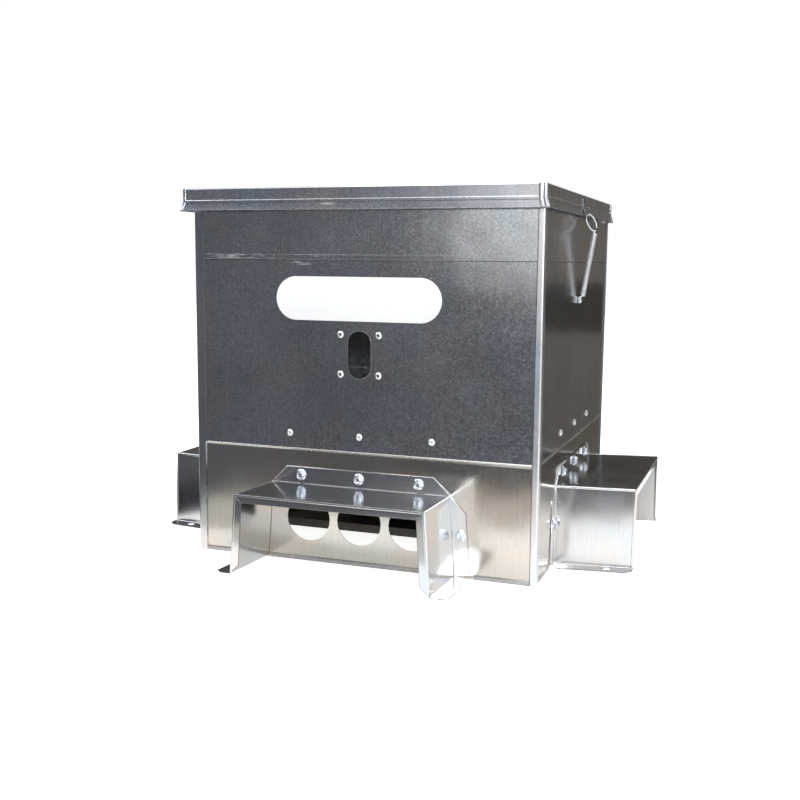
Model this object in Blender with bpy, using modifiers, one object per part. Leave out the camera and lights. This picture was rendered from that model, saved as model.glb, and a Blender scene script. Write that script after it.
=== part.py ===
"""Quail feeder: a square galvanised feed box with twelve feeding holes, four hoods and a lift-off lid.

Metres, +Z up. The origin is on the ground under the middle of the box, and the front faces -Y.
"""

import math

import bmesh
import bpy
from mathutils import Matrix, Vector

# Sheet metal and the clearance between pieces that touch
sheet = 0.0010
gap = 0.0003

# Box: three square tiers, each lapping outside the one below it
body_half = 0.2530
base_seam = 0.1620
collar_seam = 0.4290
rim_height = 0.5250
lap_height = 0.0350
hem_height = 0.0120
hem_proud = 0.0006
joggle_height = 0.0035

# Corner angles, folded from a narrow strip
angle_leg = 0.0125
angle_bend = 0.0022
angle_below_rim = 0.0030

# Lid: a shallow pan whose lower edge flares outwards
lid_play = 0.0069
lid_skirt = 0.0300
lid_hem = 0.0125
lid_flare = 0.0032
lid_corner = 0.0015
lid_shift = -0.0049

# Feeding holes, three to a side
feed_hole_radius = 0.0330
feed_hole_pitch = 0.0774
feed_hole_height = 0.0629

# Feed funnel inside, with the tray that hangs under it on two brackets
funnel_flange = 0.0185
funnel_below_lap = 0.0025
outlet_half = 0.0950
outlet_top = 0.0660
outlet_lip = 0.0120
tray_half = 0.1870
tray_underside = 0.0310
tray_lip = 0.0120
bracket_width = 0.0400
bracket_foot = 0.0160

# Sight window in the front
slot_width = 0.0340
slot_height = 0.0660
slot_centre = 0.2995
pane_side = 0.0740
pane_thickness = 0.0020
pane_rivet_x = 0.0281
pane_rivet_z = 0.0276

# Blind rivets
rivet_head_radius = 0.0048
rivet_head_height = 0.0020
rivet_shank_radius = 0.0022
rivet_tail_radius = 0.0032
rivet_tail_length = 0.0040
rivet_hole_radius = 0.0026
funnel_rivet_pitch = 0.1060
funnel_rivet_height = 0.1850

# Hoods, each folded from one blank and screwed to the base over the feeding holes
hood_depth = 0.1135
hood_roof_half_wall = 0.1336
hood_roof_half_front = 0.1352
hood_side_half_wall = 0.1417
hood_side_half_front = 0.1424
hood_roof_wall = 0.1130
hood_roof_front = 0.1168
hood_foot_wall = 0.0024
hood_foot_front = 0.0070
hood_flange = 0.0235
hood_side_flange = 0.0220
hood_side_flange_foot = 0.0030
hood_front_lip = 0.0110
hood_front_return = 0.0120
hood_foot = 0.0235
hood_foot_setback = 0.0100
hood_foot_cut = 0.0090
hood_mitre_gap = 0.0004
hood_bend = 0.0014
stake_hole_radius = 0.0055
stake_hole_out = 0.0110
stake_hole_depth = 0.0790
hood_screw_pitch = 0.0880
hood_screw_height = 0.1258
hood_side_screw_x = 0.1500
hood_side_screw_height = 0.0600

# Hex washer-head screws that hold the hoods, each with its nut
screw_washer_radius = 0.0080
screw_washer_height = 0.0016
screw_hex_radius = 0.0058
screw_head_height = 0.0058
screw_shank_radius = 0.0027
screw_hole_radius = 0.0032
screw_nut_radius = 0.0060
screw_nut_height = 0.0040
screw_end = 0.0025

# Lid springs: one wire each, with an eye on a screw, a close coil and an oval pull loop
spring_wire = 0.0022
spring_coil_radius = 0.0034
spring_curls = 30
curl_points = 8
spring_screw_height = 0.3720
spring_eye_radius = 0.0041
spring_eye_gap = 0.0006
spring_foot_rise = 0.0066
spring_foot_out = 0.0069
spring_neck = 0.0035
spring_loop_in = 0.0013
spring_loop_above = 0.0040
spring_loop_length = 0.0262
spring_loop_half_width = 0.0048
spring_loop_tilt = 21.0
spring_head_radius = 0.0046
spring_head_height = 0.0030
spring_head_bore = 0.0003

# Catches on the lid skirt that hold the pull loops
catch_width = 0.0100
catch_plate = 0.0130
catch_stand_off = 0.0070
catch_drop = 0.0183
catch_tongue_reach = 0.0022
catch_tongue_height = 0.0040
catch_root = 0.0040

SIDES = ("front", "right", "rear", "left")


def collection(name):
    made = bpy.data.collections.new(name)
    bpy.context.scene.collection.children.link(made)
    return made


def material(name, color, roughness, metallic, alpha=1.0):
    made = bpy.data.materials.new(name)
    made.use_nodes = True
    shader = made.node_tree.nodes["Principled BSDF"]
    shader.inputs["Base Color"].default_value = (*color, 1.0)
    shader.inputs["Roughness"].default_value = roughness
    shader.inputs["Metallic"].default_value = metallic
    shader.inputs["Alpha"].default_value = alpha
    return made


def galvanised(name):
    return material(name + "_zinc", (0.62, 0.63, 0.64), 0.28, 1.0)


def bright_zinc(name):
    return material(name + "_plating", (0.80, 0.81, 0.82), 0.22, 1.0)


def add(name, mesh, finish, matrix=None):
    """A part object: its mesh, its own material and its place."""
    made = bpy.data.objects.new(name, mesh)
    mesh.materials.append(finish(name))
    made.matrix_world = matrix or Matrix.Identity(4)
    parts.objects.link(made)
    return made


def add_copy(name, mesh, finish, matrix):
    """Another object on a shared mesh, with a material of its own."""
    made = bpy.data.objects.new(name, mesh)
    made.matrix_world = matrix
    parts.objects.link(made)
    made.material_slots[0].link = "OBJECT"
    made.material_slots[0].material = finish(name)
    return made


def mesh_from(name, bm):
    mesh = bpy.data.meshes.new(name)
    bm.to_mesh(mesh)
    bm.free()
    return mesh


def cutter_from(name, bm):
    """A hidden tool body, welded and facing out."""
    bmesh.ops.recalc_face_normals(bm, faces=bm.faces)
    made = bpy.data.objects.new(name, mesh_from(name, bm))
    made.hide_render = True
    made.display_type = "WIRE"
    cutters.objects.link(made)
    return made


def cut(target, tool):
    modifier = target.modifiers.new("cut_" + tool.name, "BOOLEAN")
    modifier.operation = "DIFFERENCE"
    modifier.object = tool


def baked(obj, name):
    """The object's evaluated shape as a plain mesh; the object itself is removed."""
    bpy.context.view_layer.update()
    graph = bpy.context.evaluated_depsgraph_get()
    mesh = bpy.data.meshes.new_from_object(obj.evaluated_get(graph))
    mesh.name = name
    bpy.data.objects.remove(obj)
    return mesh


def turn(side):
    """The matrix that takes the front of the box to this side of it."""
    return Matrix.Rotation(math.radians(90.0 * SIDES.index(side)), 4, "Z")


def at_wall(along, height):
    """A frame on the front wall: Z points out of the wall and X runs along it."""
    return Matrix.Translation((along, -body_half, height)) @ Matrix.Rotation(math.radians(90.0), 4, "X")


def square_shell(name, profile, finish, place=(0.0, 0.0)):
    """A square sheet shell: (half width, height) points turned in four steps, with the sheet inside."""
    bm = bmesh.new()
    points = [bm.verts.new((half * math.sqrt(2.0), 0.0, height)) for half, height in profile]
    for first, second in zip(points, points[1:]):
        bm.edges.new((first, second))
    turned = add(name, mesh_from(name, bm), finish)
    turned.location = (*place, 0.0)
    turned.rotation_euler.z = math.radians(45.0)
    screw = turned.modifiers.new("four_walls", "SCREW")
    screw.steps = 4
    screw.render_steps = 4
    screw.use_smooth_shade = False
    screw.use_merge_vertices = True
    screw.merge_threshold = 0.00001
    wall = turned.modifiers.new("sheet", "SOLIDIFY")
    wall.thickness = sheet
    wall.offset = -1.0
    wall.use_even_offset = True
    wall.use_quality_normals = True
    return turned


def turned_body(name, profile, segments):
    """A small turned body on its own Z axis, from (radius, height) points that run down its outer side."""
    bm = bmesh.new()
    points = [bm.verts.new((radius, 0.0, height)) for radius, height in profile]
    for first, second in zip(points, points[1:]):
        bm.edges.new((first, second))
    body = bpy.data.objects.new(name, mesh_from(name, bm))
    cutters.objects.link(body)
    screw = body.modifiers.new("turn", "SCREW")
    screw.steps = segments
    screw.render_steps = segments
    screw.use_merge_vertices = True
    screw.merge_threshold = 0.00001
    return body


def hole_row(name, places, radius, reach, segments):
    """Round drills along the front wall's outward direction, one at each (along, height)."""
    bm = bmesh.new()
    for along, height in places:
        bmesh.ops.create_cone(
            bm,
            cap_ends=True,
            segments=segments,
            radius1=radius,
            radius2=radius,
            depth=2.0 * reach,
            matrix=at_wall(along, height),
        )
    return bm


def four_rows(name, places, radius, reach, segments):
    """The same drills on all four sides, as one tool body."""
    whole = bmesh.new()
    for side in SIDES:
        row = mesh_from(name + side, hole_row(name, places, radius, reach, segments))
        row.transform(turn(side))
        whole.from_mesh(row)
        bpy.data.meshes.remove(row)
    return cutter_from(name, whole)


for old in list(bpy.data.objects):
    bpy.data.objects.remove(old)
parts = collection("quail_feeder")
cutters = collection("cutters")

# Tiers of the box
lap_in = sheet + gap
lap_top = base_seam + lap_height
funnel_half = body_half - 2.0 * lap_in


def lapped_foot(seam):
    """The lower edge of a tier: a hem that stands a little proud of the wall."""
    return [
        (body_half, seam + hem_height + hem_proud),
        (body_half + hem_proud, seam + hem_height),
        (body_half + hem_proud, seam),
    ]


def joggled_top(seam):
    """The upper edge of a tier, stepped in to stand behind the tier above it."""
    return [
        (body_half - lap_in, seam + lap_height),
        (body_half - lap_in, seam - gap),
        (body_half, seam - joggle_height),
    ]


base_skirt = square_shell("base_skirt", [*joggled_top(base_seam), (body_half, 0.0)], galvanised)
hopper_body = square_shell("hopper_body", [*joggled_top(collar_seam), *lapped_foot(base_seam)], galvanised)
top_collar = square_shell("top_collar", [(body_half, rim_height), *lapped_foot(collar_seam)], galvanised)

feed_places = [(step * feed_hole_pitch, feed_hole_height) for step in (-1, 0, 1)]
funnel_rivet_places = [(step * funnel_rivet_pitch, funnel_rivet_height) for step in (-1, 0, 1)]
hood_screw_places = [(step * hood_screw_pitch, hood_screw_height) for step in (-1, 0, 1)]
hood_screw_places += [(step * hood_side_screw_x, hood_side_screw_height) for step in (-1, 1)]
drill_reach = 0.0100

feed_drill = four_rows("feed_drill", feed_places, feed_hole_radius, drill_reach, 28)
rivet_drill = four_rows("rivet_drill", funnel_rivet_places, rivet_hole_radius, drill_reach, 8)
screw_drill = four_rows("screw_drill", hood_screw_places, screw_hole_radius, drill_reach, 8)
cut(base_skirt, feed_drill)
cut(base_skirt, rivet_drill)
cut(base_skirt, screw_drill)
cut(hopper_body, rivet_drill)

# Corner angles: a bent strip at each corner, from the ground to just under the lid
angle_outer = body_half + hem_proud + gap + sheet
angle_top = rim_height - angle_below_rim


def bent_strip_outline():
    """The L section at the front right corner, its outer bend rounded by an arc."""
    inner = angle_outer - sheet
    leg = angle_outer - angle_leg
    centre = angle_outer - angle_bend
    arc = []
    for step in range(5):
        turned_by = math.radians(-90.0 + 22.5 * step)
        arc.append((centre + angle_bend * math.cos(turned_by), -centre + angle_bend * math.sin(turned_by)))
    return [(leg, -inner), (leg, -angle_outer), *arc, (angle_outer, -leg), (inner, -leg), (inner, -inner)]


outline = bpy.data.curves.new("corner_angle_outline", "CURVE")
outline.dimensions = "2D"
outline.fill_mode = "BOTH"
outline.extrude = angle_top / 2.0
spline = outline.splines.new("POLY")
corners = bent_strip_outline()
spline.points.add(len(corners) - 1)
for point, (x, y) in zip(spline.points, corners):
    point.co = (x, y, 0.0, 1.0)
spline.use_cyclic_u = True
strip = bpy.data.objects.new("corner_angle_outline", outline)
strip.location.z = angle_top / 2.0
cutters.objects.link(strip)
strip_height = strip.location.copy()
strip_mesh = baked(strip, "corner_angle")
for name, side in zip(("front_right", "rear_right", "rear_left", "front_left"), SIDES):
    place = turn(side) @ Matrix.Translation(strip_height)
    if side == "front":
        add("corner_angle_" + name, strip_mesh, galvanised, place)
    else:
        add_copy("corner_angle_" + name, strip_mesh, galvanised, place)

# Lid and its two catches
lid_half = angle_outer + lid_play + sheet
lid_top = rim_height + gap + sheet
lid_bottom = lid_top - lid_skirt
lid = square_shell(
    "lid",
    [
        (0.0, lid_top),
        (lid_half - lid_corner, lid_top),
        (lid_half, lid_top - lid_corner),
        (lid_half, lid_bottom + lid_hem),
        (lid_half + lid_flare, lid_bottom),
    ],
    galvanised,
    place=(lid_shift, 0.0),
)


catch_foot = lid_bottom + lid_hem - catch_drop


def out_of(side):
    """How far the lid's skirt stands from the middle of the box on the right or the left."""
    return lid_half + (lid_shift if side == "right" else -lid_shift)


def catch_bar(side):
    """The distance from the middle of the box to the middle of the catch's tongue."""
    return out_of(side) + gap + catch_stand_off


def add_catch(side):
    """A strip welded to the skirt, stepped out past the flare, with a tongue for the pull loop."""
    back = out_of(side) + gap + sheet / 2.0
    bar = catch_bar(side)
    path = [
        (back, catch_foot + catch_drop + catch_plate),
        (back, catch_foot + catch_drop),
        (bar, catch_foot + 0.4 * catch_drop),
        (bar, catch_foot + catch_tongue_height),
        (bar, catch_foot),
    ]
    bm = bmesh.new()
    rows = []
    for out, height in path:
        rows.append([bm.verts.new((along, -out, height)) for along in (-catch_root - catch_width, -catch_root)])
    for upper, lower in zip(rows, rows[1:]):
        bm.faces.new((upper[0], lower[0], lower[1], upper[1]))
    tip = [bm.verts.new((catch_tongue_reach, -bar, height)) for height in (catch_foot + catch_tongue_height, catch_foot)]
    bm.faces.new((rows[3][1], rows[4][1], tip[1], tip[0]))
    bmesh.ops.recalc_face_normals(bm, faces=bm.faces)
    catch = add("lid_catch_" + side, mesh_from("lid_catch_" + side, bm), galvanised, turn(side))
    wall = catch.modifiers.new("sheet", "SOLIDIFY")
    wall.thickness = sheet
    wall.offset = 0.0
    wall.use_even_offset = True


for side in ("right", "left"):
    add_catch(side)

# Feed funnel, with a flange turned down along the wall, then the tray and the brackets between them
funnel_edge = lap_top - funnel_below_lap
funnel = square_shell(
    "feed_funnel",
    [
        (funnel_half - sheet, funnel_edge - funnel_flange),
        (funnel_half - sheet, funnel_edge),
        (outlet_half, outlet_top),
        (outlet_half, outlet_top - outlet_lip),
    ],
    galvanised,
)
cut(funnel, rivet_drill)
tray = square_shell(
    "feed_tray",
    [
        (tray_half, tray_underside + tray_lip),
        (tray_half, tray_underside),
        (0.0, tray_underside),
    ],
    galvanised,
)
tray_floor = tray_underside + sheet
bracket_bottom = tray_floor + gap
bracket_top = outlet_top - gap
for side in ("right", "left"):
    bm = bmesh.new()
    corner_out = outlet_half + gap
    ends = (-bracket_width / 2.0, bracket_width / 2.0)
    upper = [bm.verts.new((along, -corner_out, bracket_top)) for along in ends]
    bend = [bm.verts.new((along, -corner_out, bracket_bottom)) for along in ends]
    foot = [bm.verts.new((along, -corner_out - bracket_foot, bracket_bottom)) for along in ends]
    bm.faces.new((upper[0], upper[1], bend[1], bend[0]))
    bm.faces.new((bend[0], bend[1], foot[1], foot[0]))
    bracket = add("tray_bracket_" + side, mesh_from("tray_bracket_" + side, bm), galvanised, turn(side))
    wall = bracket.modifiers.new("sheet", "SOLIDIFY")
    wall.thickness = sheet
    wall.offset = -1.0
    wall.use_even_offset = True

# Sight window: an obround slot with a clear pane riveted behind it
bm = hole_row("slot", [(0.0, slot_centre)], slot_width / 2.0, drill_reach, 32)
straight = (slot_height - slot_width) / 2.0
for vertex in bm.verts:
    vertex.co.z += math.copysign(straight, vertex.co.z - slot_centre)
cut(hopper_body, cutter_from("slot_cutter", bm))

pane_rivet_places = []
for step_z in (-1, 1):
    for step_x in (-1, 1):
        pane_rivet_places.append((step_x * pane_rivet_x, slot_centre + step_z * pane_rivet_z))
pane_drill = cutter_from("pane_drill", hole_row("pane_drill", pane_rivet_places, rivet_hole_radius, drill_reach, 8))
cut(hopper_body, pane_drill)

bm = bmesh.new()
pane_front = body_half - lap_in
bmesh.ops.create_cube(
    bm,
    size=1.0,
    matrix=Matrix.Translation((0.0, -pane_front + pane_thickness / 2.0, slot_centre))
    @ Matrix.Diagonal((pane_side, pane_thickness, pane_side, 1.0)),
)
pane = add("sight_window", mesh_from("sight_window", bm), lambda name: material(name, (0.85, 0.88, 0.88), 0.08, 0.0, 0.35))
cut(pane, pane_drill)


def rivet_mesh(name, grip):
    """A domed blind rivet on its Z axis, with the wall's outer face at height 0."""
    dome = []
    for step in range(3):
        angle = math.radians(90.0 - 30.0 * step)
        dome.append((rivet_head_radius * math.cos(angle), gap + rivet_head_height * math.sin(angle)))
    dome[0] = (0.0, gap + rivet_head_height)
    profile = [
        *dome,
        (rivet_head_radius, gap),
        (rivet_shank_radius, gap),
        (rivet_shank_radius, -grip - gap),
        (rivet_tail_radius, -grip - gap),
        (rivet_tail_radius * 0.8, -grip - rivet_tail_length),
        (0.0, -grip - rivet_tail_length),
    ]
    return baked(turned_body(name, profile, 10), name)


def add_set(mesh, finish, named_places):
    """Objects on one shared mesh, one at each named place."""
    for index, (name, place) in enumerate(named_places):
        if index == 0:
            add(name, mesh, finish, place)
        else:
            add_copy(name, mesh, finish, place)


funnel_grip = 2.0 * lap_in + sheet
pane_grip = lap_in + pane_thickness
spots = []
for side in SIDES:
    for number, (along, height) in enumerate(funnel_rivet_places, 1):
        spots.append((f"funnel_rivet_{side}_{number}", turn(side) @ at_wall(along, height)))
add_set(rivet_mesh("funnel_rivet", funnel_grip), bright_zinc, spots)
spots = []
for number, (along, height) in enumerate(pane_rivet_places, 1):
    spots.append((f"window_rivet_{number}", at_wall(along, height)))
add_set(rivet_mesh("window_rivet", pane_grip), bright_zinc, spots)

# Hoods
hood_back = body_half + gap
hood_face = hood_back + sheet


def hood_blank():
    """The outer faces of one hood at the front, each flap folded off an edge of the roof or of a side."""
    bm = bmesh.new()
    wall_y = -hood_face
    front_y = -body_half - hood_depth

    def corner(x, y, z):
        return bm.verts.new((x, y, z))

    def flap(first, second, second_to, first_to):
        bm.faces.new((first, second, corner(*second_to), corner(*first_to)))

    roof_wall = [corner(sign * hood_roof_half_wall, wall_y, hood_roof_wall) for sign in (-1, 1)]
    roof_front = [corner(sign * hood_roof_half_front, front_y, hood_roof_front) for sign in (-1, 1)]
    foot_wall = [corner(sign * hood_side_half_wall, wall_y, hood_foot_wall) for sign in (-1, 1)]
    foot_front = [corner(sign * hood_side_half_front, front_y, hood_foot_front) for sign in (-1, 1)]
    bm.faces.new((roof_wall[0], roof_wall[1], roof_front[1], roof_front[0]))
    flap(
        roof_wall[1],
        roof_wall[0],
        (-hood_roof_half_wall + hood_flange, wall_y, hood_roof_wall + hood_flange),
        (hood_roof_half_wall - hood_flange, wall_y, hood_roof_wall + hood_flange),
    )
    lip_in = hood_front_lip + hood_mitre_gap
    flap(
        roof_front[0],
        roof_front[1],
        (hood_roof_half_front - lip_in, front_y, hood_roof_front - hood_front_lip),
        (-hood_roof_half_front + lip_in, front_y, hood_roof_front - hood_front_lip),
    )
    foot_slope = (hood_foot_front - hood_foot_wall) / (hood_depth - lap_in)
    flare = (hood_side_half_front - hood_roof_half_front) / (hood_roof_front - hood_foot_front)
    for index, sign in enumerate((-1, 1)):
        bm.faces.new((roof_wall[index], roof_front[index], foot_front[index], foot_wall[index]))
        side_out = sign * (hood_roof_half_wall + hood_side_flange)
        flap(
            roof_wall[index],
            foot_wall[index],
            (sign * (hood_side_half_wall + hood_side_flange - sheet), wall_y, hood_foot_wall + hood_side_flange_foot),
            (side_out, wall_y, hood_roof_wall - hood_side_flange),
        )
        return_top = hood_roof_front - hood_front_return - hood_mitre_gap
        return_foot = hood_foot_front + hood_front_return
        top_x = hood_roof_half_front + flare * hood_front_return - hood_front_return
        foot_x = hood_side_half_front - flare * hood_front_return - hood_front_return
        flap(
            foot_front[index],
            roof_front[index],
            (sign * top_x, front_y, return_top),
            (sign * foot_x, front_y, return_foot),
        )
        back_y = wall_y - hood_foot_setback
        back_z = hood_foot_wall + foot_slope * hood_foot_setback
        tip_x = hood_side_half_front + hood_foot
        cut_y = front_y + hood_foot_cut
        cut_z = hood_foot_front - foot_slope * hood_foot_cut
        bm.faces.new(
            (
                foot_wall[index],
                foot_front[index],
                corner(sign * (tip_x - hood_foot_cut), front_y, hood_foot_front),
                corner(sign * tip_x, cut_y, cut_z),
                corner(sign * tip_x, back_y, back_z),
            )
        )
    bmesh.ops.recalc_face_normals(bm, faces=bm.faces)
    if sum(face.normal.z for face in bm.faces) < 0.0:
        bmesh.ops.reverse_faces(bm, faces=bm.faces)
    return bm


blank = bpy.data.objects.new("hood_blank", mesh_from("hood_blank", hood_blank()))
cutters.objects.link(blank)
bends = blank.modifiers.new("bends", "BEVEL")
bends.width = hood_bend
bends.segments = 2
bends.limit_method = "ANGLE"
bends.angle_limit = math.radians(30.0)
wall = blank.modifiers.new("sheet", "SOLIDIFY")
wall.thickness = sheet
wall.offset = -1.0
wall.use_even_offset = True
wall.use_quality_normals = True
front_screw_drill = cutter_from(
    "front_screw_drill", hole_row("front_screw_drill", hood_screw_places, screw_hole_radius, drill_reach, 8)
)
bm = bmesh.new()
for sign in (-1, 1):
    bmesh.ops.create_cone(
        bm,
        cap_ends=True,
        segments=14,
        radius1=stake_hole_radius,
        radius2=stake_hole_radius,
        depth=2.0 * drill_reach,
        matrix=Matrix.Translation(
            (sign * (hood_side_half_front + stake_hole_out), -body_half - stake_hole_depth, hood_foot_front)
        ),
    )
stake_drill = cutter_from("stake_drill", bm)
cut(blank, front_screw_drill)
cut(blank, stake_drill)
hood_mesh = baked(blank, "hood")
add_set(hood_mesh, galvanised, [("hood_" + side, turn(side)) for side in SIDES])


def round_body(name, radius, low, high, segments):
    """A cylinder or a hexagon prism on the Z axis between two heights."""
    bm = bmesh.new()
    bmesh.ops.create_cone(
        bm,
        cap_ends=True,
        segments=segments,
        radius1=radius,
        radius2=radius,
        depth=high - low,
        matrix=Matrix.Translation((0.0, 0.0, (low + high) / 2.0)),
    )
    return cutter_from(name, bm)


def joined(name, bodies):
    """The union of overlapping bodies as one mesh."""
    first = bodies[0]
    for body in bodies[1:]:
        modifier = first.modifiers.new("join_" + body.name, "BOOLEAN")
        modifier.operation = "UNION"
        modifier.object = body
    mesh = baked(first, name)
    for body in bodies[1:]:
        bpy.data.objects.remove(body)
    return mesh


# Hood screws: the seat of the head is the outer face of the hood's flange, one sheet off the wall
seat = lap_in + gap
inner_face = -sheet - gap
screw_mesh = joined(
    "hood_screw",
    [
        round_body("washer", screw_washer_radius, seat, seat + screw_washer_height, 16),
        round_body("hex", screw_hex_radius, seat + sheet, seat + screw_head_height, 6),
        round_body("shank", screw_shank_radius, inner_face - screw_nut_height - screw_end, seat + sheet, 8),
        round_body("nut", screw_nut_radius, inner_face - screw_nut_height, inner_face, 6),
    ],
)
spots = []
for side in SIDES:
    for number, (along, height) in enumerate(hood_screw_places, 1):
        twist = Matrix.Rotation(math.radians(23.0 * len(spots)), 4, "Z")
        spots.append((f"hood_screw_{side}_{number}", turn(side) @ at_wall(along, height) @ twist))
add_set(screw_mesh, bright_zinc, spots)

# Lid springs and the screws that they turn on
spring_screw_place = (0.0, spring_screw_height)
eye_out = spring_eye_gap + spring_wire / 2.0
head_seat = eye_out + spring_wire / 2.0 + spring_head_bore
spring_drill = bmesh.new()
for side in ("right", "left"):
    row = mesh_from(side, hole_row(side, [spring_screw_place], screw_hole_radius, drill_reach, 8))
    row.transform(turn(side))
    spring_drill.from_mesh(row)
    bpy.data.meshes.remove(row)
cut(hopper_body, cutter_from("spring_drill", spring_drill))
spring_screw_mesh = joined(
    "spring_screw",
    [
        round_body("head", spring_head_radius, head_seat, head_seat + spring_head_height, 14),
        round_body("shank", screw_shank_radius, inner_face - screw_nut_height - screw_end, head_seat + sheet, 8),
        round_body("nut", screw_nut_radius, inner_face - screw_nut_height, inner_face, 6),
    ],
)
spots = [(f"spring_screw_{side}", turn(side) @ at_wall(*spring_screw_place)) for side in ("right", "left")]
add_set(spring_screw_mesh, bright_zinc, spots)


def spring_route(side):
    """The wire's middle line in the wall frame: X along the wall, Y up, Z out, from the screw."""
    route = []
    for step in range(10):
        angle = math.radians(30.0 * step)
        route.append(Vector((spring_eye_radius * math.sin(angle), spring_eye_radius * math.cos(angle), eye_out)))
    coil_foot = Vector((0.0, spring_foot_rise, spring_foot_out))
    tilt = math.radians(spring_loop_tilt)
    loop_axis = Vector((0.0, math.cos(tilt), -math.sin(tilt)))
    loop_rise = catch_foot + catch_tongue_height + spring_loop_above - spring_screw_height
    loop_head = Vector((0.0, loop_rise, catch_bar(side) - body_half - spring_loop_in))
    neck = loop_head - loop_axis * spring_loop_length
    coil_axis = (neck - coil_foot).normalized()
    coil_length = (neck - coil_foot).length - spring_neck
    across = Vector((1.0, 0.0, 0.0))
    outward = across.cross(coil_axis)
    route.append(Vector((-spring_eye_radius - gap, 0.55 * spring_foot_rise, eye_out)))
    route.append(coil_foot - across * spring_coil_radius * 1.1 - coil_axis * 0.0014 - outward * 0.0016)
    for step in range(spring_curls * curl_points + 1):
        angle = math.tau * step / curl_points
        radial = -across * math.cos(angle) + outward * math.sin(angle)
        along = coil_length * step / (spring_curls * curl_points)
        route.append(coil_foot + coil_axis * along + radial * spring_coil_radius)
    route.append(neck - across * spring_coil_radius * 0.45 - coil_axis * 0.0012)
    half_length = spring_loop_length / 2.0
    middle = neck + loop_axis * half_length
    loop_side = across.cross(loop_axis)
    for step in range(17):
        angle = math.radians(-180.0 + 20.0 * step)
        route.append(
            middle
            + loop_axis * half_length * math.cos(angle)
            + loop_side * spring_loop_half_width * math.sin(angle)
        )
    return route


def least_self_gap(route):
    """The least distance between the wire's surface and itself, for points over a wire and a half apart along it."""
    lengths = [0.0]
    for first, second in zip(route, route[1:]):
        lengths.append(lengths[-1] + (second - first).length)
    fine = []
    for index, (first, second) in enumerate(zip(route, route[1:])):
        for part in range(3):
            share = part / 3.0
            fine.append((first.lerp(second, share), lengths[index] + share * (second - first).length))
    least = math.inf
    for index, (point, run) in enumerate(fine):
        for other, other_run in fine[index + 1 :]:
            if other_run - run > 4.0 * spring_wire:
                least = min(least, (other - point).length - spring_wire)
    return least


def add_spring(side):
    route = spring_route(side)
    print(f"lid spring {side}: least gap of the wire to itself {1000.0 * least_self_gap(route):.2f} mm")
    wire = bpy.data.curves.new("lid_spring_" + side, "CURVE")
    wire.dimensions = "3D"
    wire.bevel_depth = spring_wire / 2.0
    wire.bevel_resolution = 1
    wire.use_fill_caps = True
    run = wire.splines.new("POLY")
    run.points.add(len(route) - 1)
    for point, place in zip(run.points, route):
        point.co = (*place, 1.0)
    wire.materials.append(bright_zinc("lid_spring_" + side))
    spring = bpy.data.objects.new("lid_spring_" + side, wire)
    spring.matrix_world = turn(side) @ at_wall(*spring_screw_place)
    parts.objects.link(spring)


for side in ("right", "left"):
    add_spring(side)
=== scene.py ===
# A quail feeder: a square box of galvanised sheet with a lift-off lid, a sight window, feeding holes
# under folded hoods, and two lid springs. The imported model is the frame, in metres, and this script
# gives it its finishes and the small parts that the eye looks for.
import math

import bmesh
import bpy
from mathutils import Matrix, Vector


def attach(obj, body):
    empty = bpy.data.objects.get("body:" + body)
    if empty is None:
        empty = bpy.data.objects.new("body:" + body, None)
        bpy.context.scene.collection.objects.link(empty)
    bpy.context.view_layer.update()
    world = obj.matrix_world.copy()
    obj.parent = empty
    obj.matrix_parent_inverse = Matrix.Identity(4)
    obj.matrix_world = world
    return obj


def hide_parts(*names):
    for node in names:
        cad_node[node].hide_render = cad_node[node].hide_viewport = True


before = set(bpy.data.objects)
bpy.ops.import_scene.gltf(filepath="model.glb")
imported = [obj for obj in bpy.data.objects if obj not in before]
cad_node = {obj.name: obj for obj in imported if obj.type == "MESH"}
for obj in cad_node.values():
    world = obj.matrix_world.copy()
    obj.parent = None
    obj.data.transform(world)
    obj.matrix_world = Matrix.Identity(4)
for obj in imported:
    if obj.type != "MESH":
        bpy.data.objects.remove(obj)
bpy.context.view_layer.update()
scene = bpy.context.scene
scene.view_settings.view_transform = "Standard"

# The camera stands at the photograph's place, a little right of the front and just under the lid's
# height, and looks down a little. Its place and lens come from some sixty points of the photograph.
camera_place = Vector((0.5360, -1.5652, 0.4287))
camera_turn = math.radians(19.936)
camera_rise = math.radians(7.679)
camera_roll = 0.0084
camera_lens = 46.53
camera_film = 36.0

backward = Vector(
    (
        math.sin(camera_turn) * math.cos(camera_rise),
        -math.cos(camera_turn) * math.cos(camera_rise),
        math.sin(camera_rise),
    )
)
level = Vector((math.cos(camera_turn), math.sin(camera_turn), 0.0))
upright = backward.cross(level)
rightward = level * math.cos(camera_roll) + upright * math.sin(camera_roll)
upward = upright * math.cos(camera_roll) - level * math.sin(camera_roll)
camera_data = bpy.data.cameras.new("camera")
camera_data.lens = camera_lens
camera_data.sensor_width = camera_film
camera = bpy.data.objects.new("camera", camera_data)
camera_axes = Matrix((rightward, upward, backward)).transposed().to_4x4()
camera.matrix_world = Matrix.Translation(camera_place) @ camera_axes
scene.collection.objects.link(camera)
scene.camera = camera

# The studio is a pale floor in a white surround, with soft lamps above and to the left. The surround
# shows white to the camera, to reflections and through glass, and lights the rest at a plain level.
floor_tone = "#F6F6F4"
floor_size = 14.0
floor_drop = 0.0006
shown_glow = 0.88
mirrored_glow = 0.46
far_glow = 1.0
surround_fill = 0.52


def colour(code):
    """A hex sRGB colour as the linear colour that a socket takes."""
    parts = [int(code[start : start + 2], 16) / 255.0 for start in (1, 3, 5)]
    return [part / 12.92 if part <= 0.04045 else ((part + 0.055) / 1.055) ** 2.4 for part in parts] + [1.0]


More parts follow.
